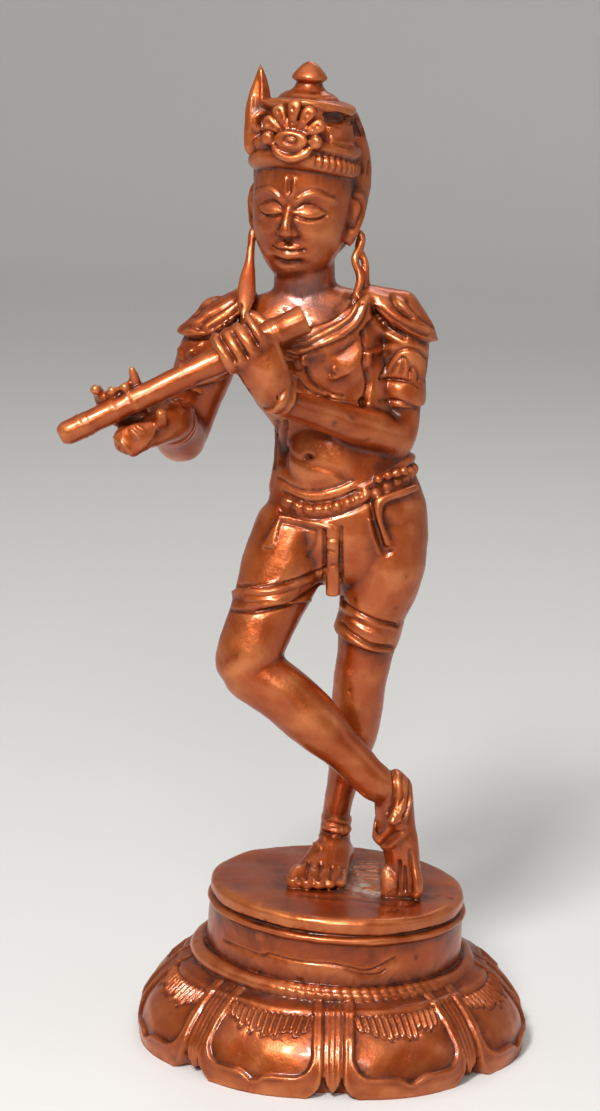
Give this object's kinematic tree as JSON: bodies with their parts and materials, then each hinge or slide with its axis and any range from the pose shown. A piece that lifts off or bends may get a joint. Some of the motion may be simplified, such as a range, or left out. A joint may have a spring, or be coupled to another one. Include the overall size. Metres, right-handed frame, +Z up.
{
  "type": "krishna figure on a lotus plinth",
  "caption": "Small cast copper figure of a standing flute player with crossed legs, grown together with its round lotus plinth.",
  "frame": {"origin": "centre of the plinth's underside", "axes": "+Z up, the figure faces -Y, and +X is to the viewer's right"},
  "size_m": [0.0618, 0.0512, 0.127],
  "materials": {
    "cast_copper": "polished reddish cast copper with dark patina in the recesses and worn pink edges"
  },
  "bodies": {
    "root": {"krishna_figure": "cast_copper"}
  },
  "joints": []
}
